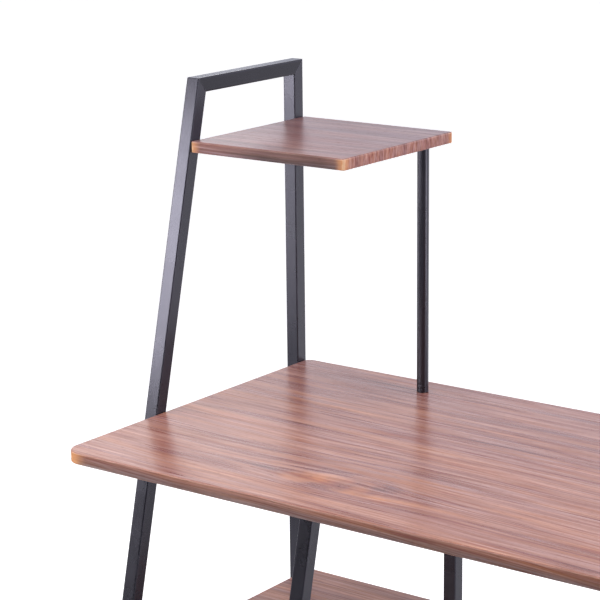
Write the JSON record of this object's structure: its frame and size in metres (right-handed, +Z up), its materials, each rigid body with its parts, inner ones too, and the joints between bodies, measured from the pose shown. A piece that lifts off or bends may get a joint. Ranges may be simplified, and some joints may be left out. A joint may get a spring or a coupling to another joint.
{
  "type": "ladder desk",
  "caption": "Writing desk with a leaning ladder frame at one end carrying a raised shelf on a round post, open side shelves under the top and a clear knee space.",
  "frame": {"origin": "on the floor under the centre of the whole desk, midway along its width and its depth", "axes": "+Z up, +X along the desktop from the shelf end, -Y towards the person who sits at it"},
  "size_m": [1.2, 0.516, 1.193],
  "materials": {
    "black_frame": "satin black powder coat on steel tube",
    "walnut_board": "satin foil with a walnut grain on fibreboard",
    "black_screw": "black oxide screw with a hexagon socket",
    "zinc_hardware": "bright zinc plating",
    "foot_plastic": "moulded matt black plastic"
  },
  "bodies": {
    "frame": {"barrel_nuts": "zinc_hardware", "board_bolts": "black_screw", "bottom_shelf": "walnut_board", "desktop": "walnut_board", "desktop_inserts": "zinc_hardware", "desktop_screws": "black_screw", "foot_rivet_nuts": "zinc_hardware", "front_desk_rail": "black_frame", "left_back_leg": "black_frame", "left_bottom_bar": "black_frame", "left_front_leg": "black_frame", "left_top_bar": "black_frame", "middle_back_leg": "black_frame", "middle_bottom_bar": "black_frame", "middle_front_leg": "black_frame", "middle_shelf": "walnut_board", "middle_top_bar": "black_frame", "post_bushes": "zinc_hardware", "post_foot_screw": "black_screw", "post_foot_washer": "zinc_hardware", "post_top_stud": "zinc_hardware", "rail_bolts": "black_screw", "rail_end_plates": "zinc_hardware", "rear_desk_rail": "black_frame", "rear_stretcher": "black_frame", "right_back_leg": "black_frame", "right_bottom_bar": "black_frame", "right_front_leg": "black_frame", "right_top_bar": "black_frame", "shelf_post": "black_frame", "upper_shelf": "walnut_board", "upper_shelf_insert": "zinc_hardware"},
    "left_front_foot": {"left_front_foot_pad": "foot_plastic", "left_front_foot_stud": "zinc_hardware"},
    "left_back_foot": {"left_back_foot_pad": "foot_plastic", "left_back_foot_stud": "zinc_hardware"},
    "middle_front_foot": {"middle_front_foot_pad": "foot_plastic", "middle_front_foot_stud": "zinc_hardware"},
    "middle_back_foot": {"middle_back_foot_pad": "foot_plastic", "middle_back_foot_stud": "zinc_hardware"},
    "right_front_foot": {"right_front_foot_pad": "foot_plastic", "right_front_foot_stud": "zinc_hardware"},
    "right_back_foot": {"right_back_foot_pad": "foot_plastic", "right_back_foot_stud": "zinc_hardware"}
  },
  "joints": [
    {"name": "left_front_foot_screw", "type": "slide", "parent": "frame", "child": "left_front_foot", "axis": [0, 0, -1], "range_m": [0, 0.008]},
    {"name": "left_back_foot_screw", "type": "slide", "parent": "frame", "child": "left_back_foot", "axis": [0, 0, -1], "range_m": [0, 0.008]},
    {"name": "middle_front_foot_screw", "type": "slide", "parent": "frame", "child": "middle_front_foot", "axis": [0, 0, -1], "range_m": [0, 0.008]},
    {"name": "middle_back_foot_screw", "type": "slide", "parent": "frame", "child": "middle_back_foot", "axis": [0, 0, -1], "range_m": [0, 0.008]},
    {"name": "right_front_foot_screw", "type": "slide", "parent": "frame", "child": "right_front_foot", "axis": [0, 0, -1], "range_m": [0, 0.008]},
    {"name": "right_back_foot_screw", "type": "slide", "parent": "frame", "child": "right_back_foot", "axis": [0, 0, -1], "range_m": [0, 0.008]}
  ]
}
